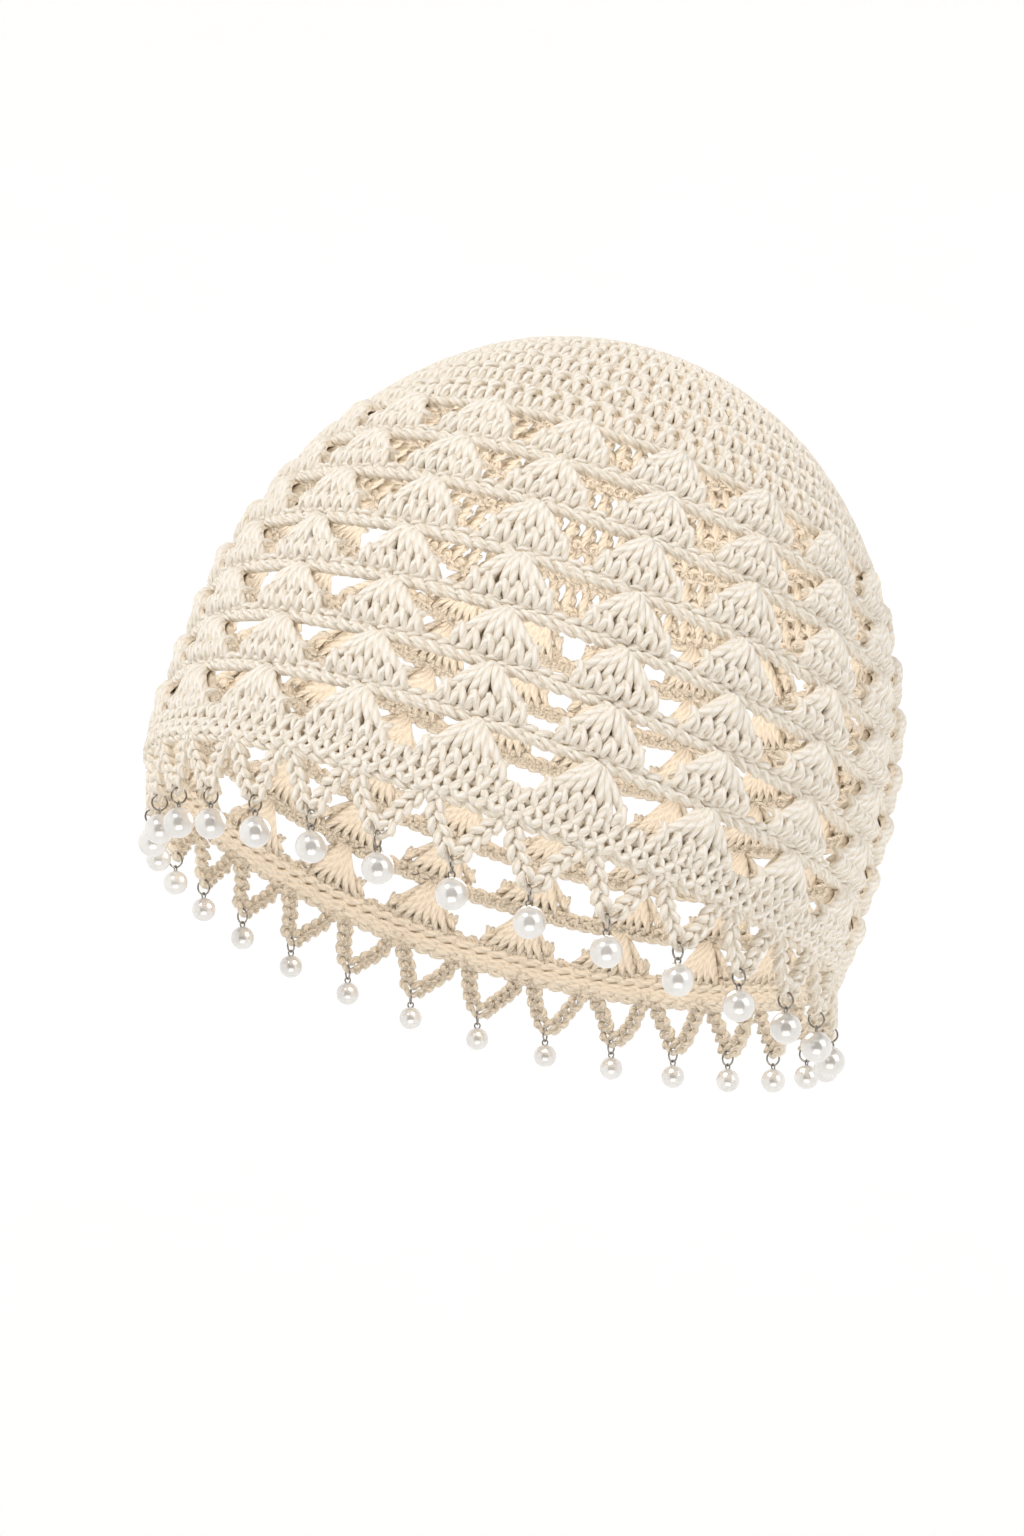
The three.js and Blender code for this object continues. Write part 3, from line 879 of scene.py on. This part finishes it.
# %% [markdown]
# ## Studio
# A pale seamless bowl stands well below the cap, so that no horizon shows from any side. A flat
# floor would be simpler, but its edge would show from low views. Soft light comes from above left
# of the camera, from its right, and from below, as a pale floor throws it back. A dark cloth
# behind the camera gives the pearls their grey middle, and a weak lamp inside the cap stands for
# light that passes through cotton.

# %% Studio
FLOOR_HEIGHT = -1.05
FLOOR_RADIUS = 1.7
BOWL_RISE = 4.6
CAMERA_AZIMUTH = math.radians(55.876)
CAMERA_DISTANCE = 0.76033
CAMERA_LENS_MM = 69.9185
CAMERA_SENSOR_MM = 36
CAMERA_SHIFT_X = 0.017337
CAMERA_SHIFT_Y = 0.077624
TOWARD_CAMERA = np.array([math.sin(CAMERA_AZIMUTH), -math.cos(CAMERA_AZIMUTH), 0])
RIM_CENTRE = -POLE_TO_RIM
LIGHT_TARGET = RIM_CENTRE + np.array([0, 0.02, 0.04])
SOFT_LIGHTS = [
    # name, azimuth and elevation in degrees, distance and size in metres, power in watts, colour
    ("key", 18, 46, 1.3, 0.34, 7.8, (1.0, 0.97, 0.93)),
    ("fill", 105, 22, 1.2, 0.9, 3.2, (1.0, 0.965, 0.92)),
    ("bounce", 56, -32, 1.0, 0.8, 3.2, (1.0, 0.97, 0.92)),
]


def backdrop():
    """A flat disc that curves up into a wall all round: the radius and height of a section,
    turned about the vertical axis."""
    bend = np.linspace(0, math.pi / 2, 14)
    radius = np.concatenate([[0.02, 0.6], FLOOR_RADIUS + np.sin(bend), [FLOOR_RADIUS + 1.0]])
    height = np.concatenate([[0, 0], 1 - np.cos(bend), [BOWL_RISE]]) + FLOOR_HEIGHT
    turn = np.linspace(0, 2 * math.pi, 96, endpoint=False)
    points = np.stack([
        radius[:, None] * np.cos(turn), radius[:, None] * np.sin(turn),
        np.repeat(height[:, None], len(turn), axis=1)], -1).reshape(-1, 3)
    faces = grid_faces(0, len(radius), len(turn), False).tolist()
    faces.append(list(range(len(turn))))
    mesh = bpy.data.meshes.new("backdrop")
    mesh.from_pydata(points.tolist(), [], faces)
    mesh.polygons.foreach_set("use_smooth", np.ones(len(faces), bool))
    material, tree, shader = new_material("pale_paper")
    grain = tree.nodes.new("ShaderNodeTexNoise")
    grain.inputs["Scale"].default_value = 30
    ramp = tree.nodes.new("ShaderNodeValToRGB")
    ramp.color_ramp.elements[0].color = (0.74, 0.74, 0.735, 1)
    ramp.color_ramp.elements[1].color = (0.77, 0.765, 0.76, 1)
    tree.links.new(grain.outputs["Fac"], ramp.inputs[0])
    tree.links.new(ramp.outputs[0], shader.inputs["Base Color"])
    shader.inputs["Roughness"].default_value = 0.9
    shader.inputs["Emission Color"].default_value = (1, 1, 1, 1)
    shader.inputs["Emission Strength"].default_value = 0.345
    mesh.materials.append(material)
    floor = bpy.data.objects.new("backdrop", mesh)
    bpy.context.scene.collection.objects.link(floor)


def soft_light(name, azimuth, elevation, distance, size, power, colour):
    """A square area light that looks at the cap from an azimuth and elevation in degrees."""
    a, e = math.radians(azimuth), math.radians(elevation)
    back = np.array([math.sin(a) * math.cos(e), -math.cos(a) * math.cos(e), math.sin(e)])
    lamp = bpy.data.lights.new(name, "AREA")
    lamp.size = size
    lamp.energy = power
    lamp.color = colour
    light = bpy.data.objects.new(name, lamp)
    bpy.context.scene.collection.objects.link(light)
    light.location = LIGHT_TARGET + back * distance
    light.rotation_euler = (math.pi / 2 - e, 0, a)
    light.visible_camera = False


def flag(distance, radius):
    """A dark disc behind the camera, out of its sight, that the pearls reflect in their middle."""
    turn = np.linspace(0, 2 * math.pi, 48, endpoint=False)
    across = np.array([math.cos(CAMERA_AZIMUTH), math.sin(CAMERA_AZIMUTH), 0])
    upward = np.array([0, 0, 1])
    points = (RIM_CENTRE + TOWARD_CAMERA * distance + radius * np.cos(turn)[:, None] * across
              + radius * np.sin(turn)[:, None] * upward)
    mesh = bpy.data.meshes.new("flag")
    mesh.from_pydata(points.tolist(), [], [list(range(len(turn)))])
    material, _, shader = new_material("dark_cloth")
    shader.inputs["Base Color"].default_value = (0.05, 0.045, 0.04, 1)
    shader.inputs["Roughness"].default_value = 0.9
    mesh.materials.append(material)
    disc = bpy.data.objects.new("flag", mesh)
    bpy.context.scene.collection.objects.link(disc)
    disc.visible_camera = False


def glow(power):
    """A weak lamp inside the cap, for the light that comes through its yarn."""
    lamp = bpy.data.lights.new("glow", "POINT")
    lamp.energy = power
    lamp.color = (0.98, 0.98, 1.0)
    lamp.shadow_soft_size = 0.045
    light = bpy.data.objects.new("glow", lamp)
    bpy.context.scene.collection.objects.link(light)
    light.location = RIM_CENTRE * 0.55
    light.visible_camera = False


backdrop()
flag(0.95, 0.72)
glow(0.165)
for lamp_row in SOFT_LIGHTS:
    soft_light(*lamp_row)
world = bpy.data.worlds.new("studio")
world.use_nodes = True
world.node_tree.nodes["Background"].inputs["Color"].default_value = (1, 0.99, 0.975, 1)
world.node_tree.nodes["Background"].inputs["Strength"].default_value = 0.34
bpy.context.scene.world = world
bpy.context.scene.view_settings.view_transform = "Standard"

lens = bpy.data.cameras.new("camera")
lens.lens = CAMERA_LENS_MM
lens.sensor_width = CAMERA_SENSOR_MM
lens.shift_x = CAMERA_SHIFT_X
lens.shift_y = CAMERA_SHIFT_Y
lens.clip_start = 0.05
lens.clip_end = 20
camera = bpy.data.objects.new("camera", lens)
bpy.context.scene.collection.objects.link(camera)
camera.location = RIM_CENTRE + TOWARD_CAMERA * CAMERA_DISTANCE
camera.rotation_euler = (math.pi / 2, 0, CAMERA_AZIMUTH)
bpy.context.scene.camera = camera
print("camera at", np.round(np.array(camera.location), 3))
